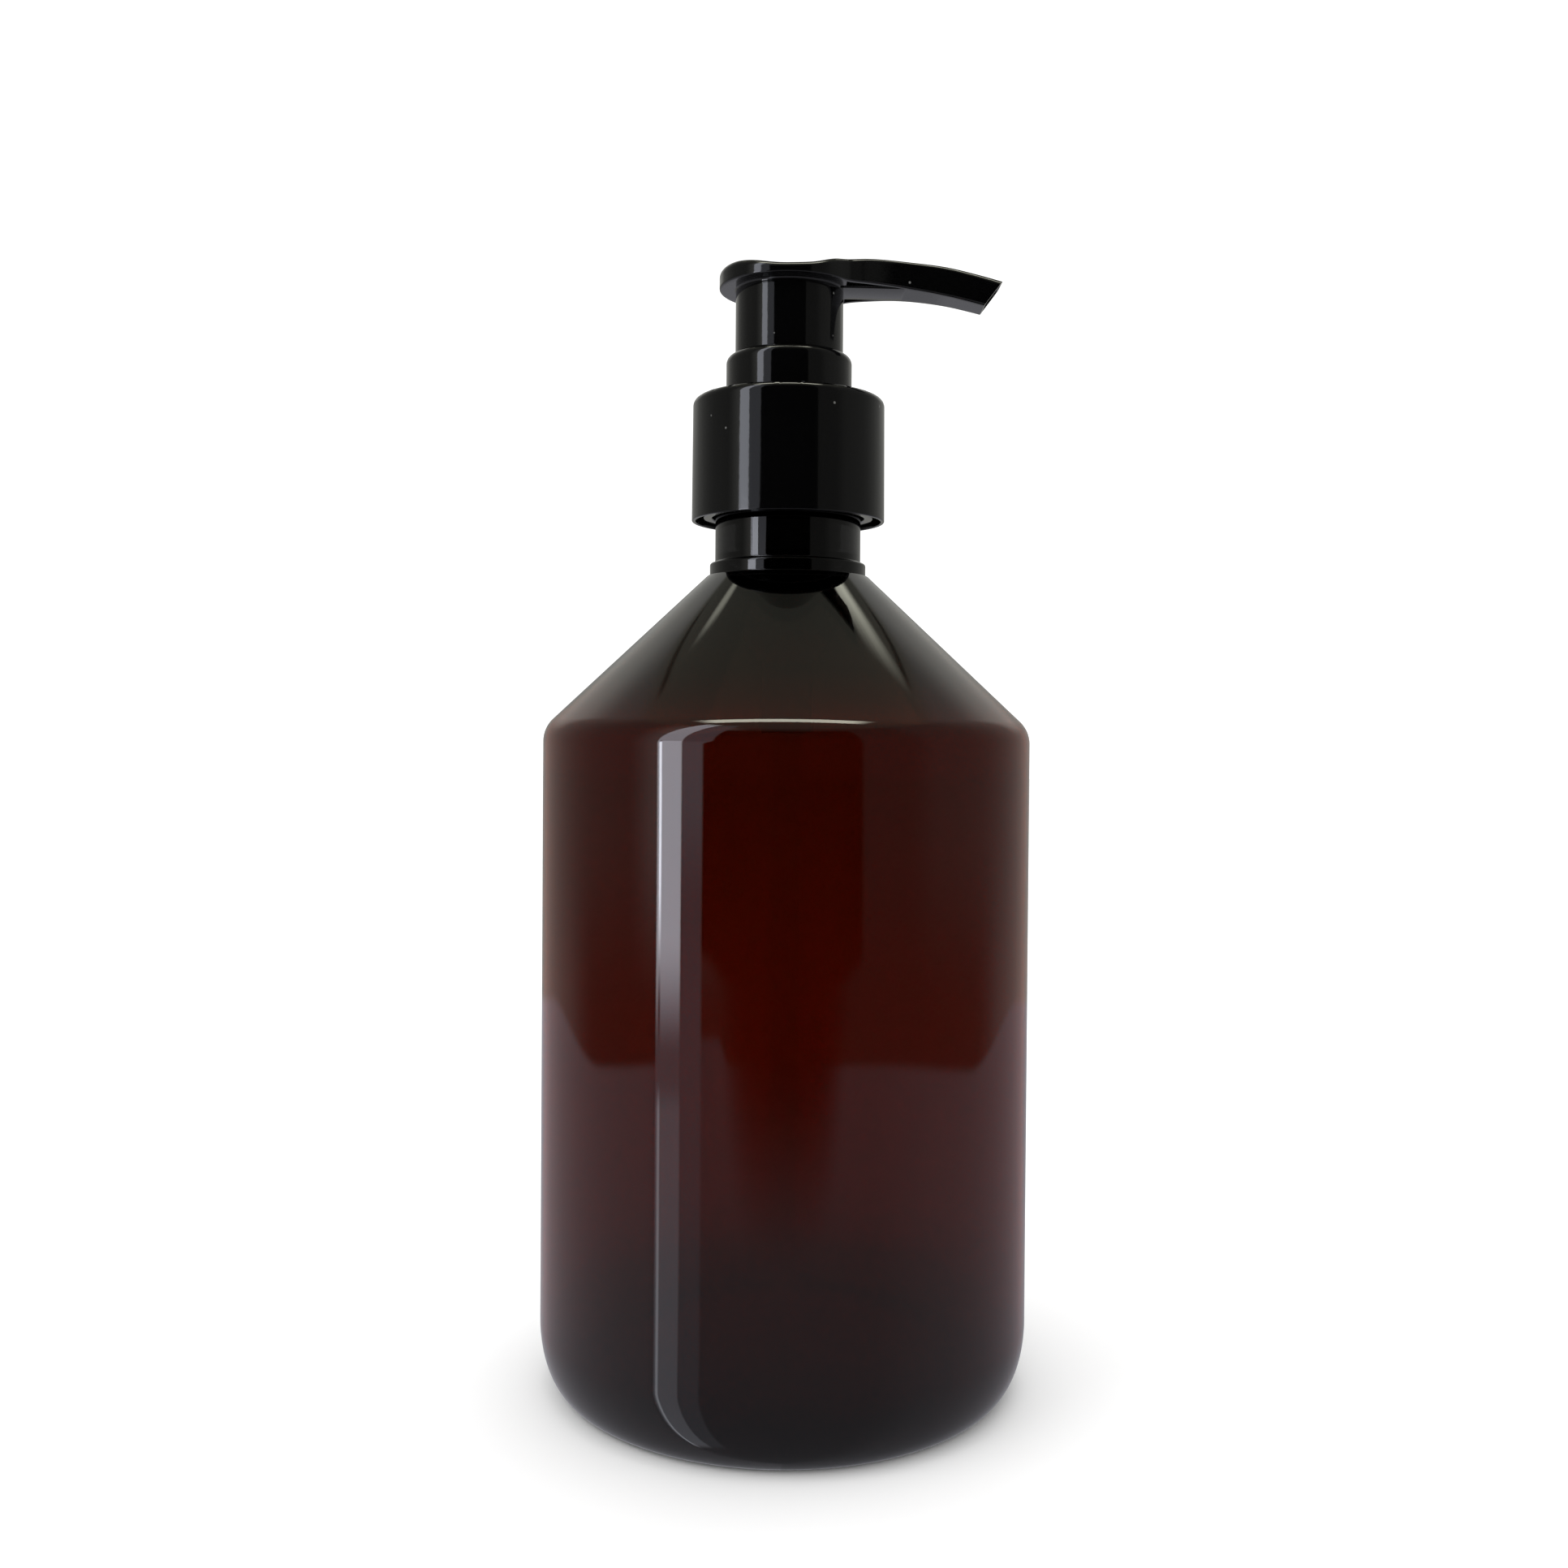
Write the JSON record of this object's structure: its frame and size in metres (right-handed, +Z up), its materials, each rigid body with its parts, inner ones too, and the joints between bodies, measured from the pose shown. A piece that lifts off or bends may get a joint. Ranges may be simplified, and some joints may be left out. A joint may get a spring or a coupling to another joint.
{
  "type": "soap pump dispenser",
  "caption": "Round amber bottle with a cone shoulder and a black screw-on lotion pump: press head with curved spout, spring return, swivel head and dip tube.",
  "frame": {"origin": "centre of the bottle's standing ring, on the surface it stands on", "axes": "+Z up along the bottle's axis, +X along the spout"},
  "size_m": [0.0776, 0.0776, 0.1781],
  "materials": {
    "amber_pet": "glossy clear amber",
    "black_pp": "high gloss black",
    "natural_pp": "milky translucent",
    "natural_pe": "waxy translucent",
    "ball_glass": "polished",
    "spring_steel": "drawn wire"
  },
  "bodies": {
    "bottle": {"bottle": "amber_pet"},
    "engine": {"housing": "natural_pp", "gasket": "natural_pe", "dip_tube": "natural_pe", "lock_ring": "black_pp", "ball_cage": "natural_pp", "spring": "spring_steel"},
    "closure": {"closure": "black_pp"},
    "plunger": {"stem": "natural_pp", "piston_rod": "natural_pp"},
    "head": {"actuator": "black_pp"},
    "piston": {"piston": "natural_pe"},
    "ball": {"inlet_ball": "ball_glass"}
  },
  "joints": [
    {"name": "pump_lift", "type": "slide", "parent": "bottle", "child": "engine", "axis": [0, 0, 1], "range_m": [0, 0.0048]},
    {"name": "closure_turn", "type": "hinge", "parent": "engine", "child": "closure", "pos_m": [0, 0, 0.137], "axis": [0, 0, 1], "range_deg": [0, 540]},
    {"name": "pump_stroke", "type": "slide", "parent": "engine", "child": "plunger", "axis": [0, 0, -1], "range_m": [0, 0.0095], "stiffness_N_per_m": 1200, "springref_m": -0.008, "deforming": ["spring"]},
    {"name": "head_swivel", "type": "hinge", "parent": "plunger", "child": "head", "pos_m": [0, 0, 0.17], "axis": [0, 0, 1], "continuous": true},
    {"name": "valve_shift", "type": "slide", "parent": "plunger", "child": "piston", "axis": [0, 0, 1], "range_m": [0, 0.001]},
    {"name": "ball_lift", "type": "slide", "parent": "engine", "child": "ball", "axis": [0, 0, 1], "range_m": [0, 0.0012]}
  ],
  "couplings": [
    {"joint": "pump_lift", "follows": "closure_turn", "m_per_rad": 0.00050531}
  ]
}
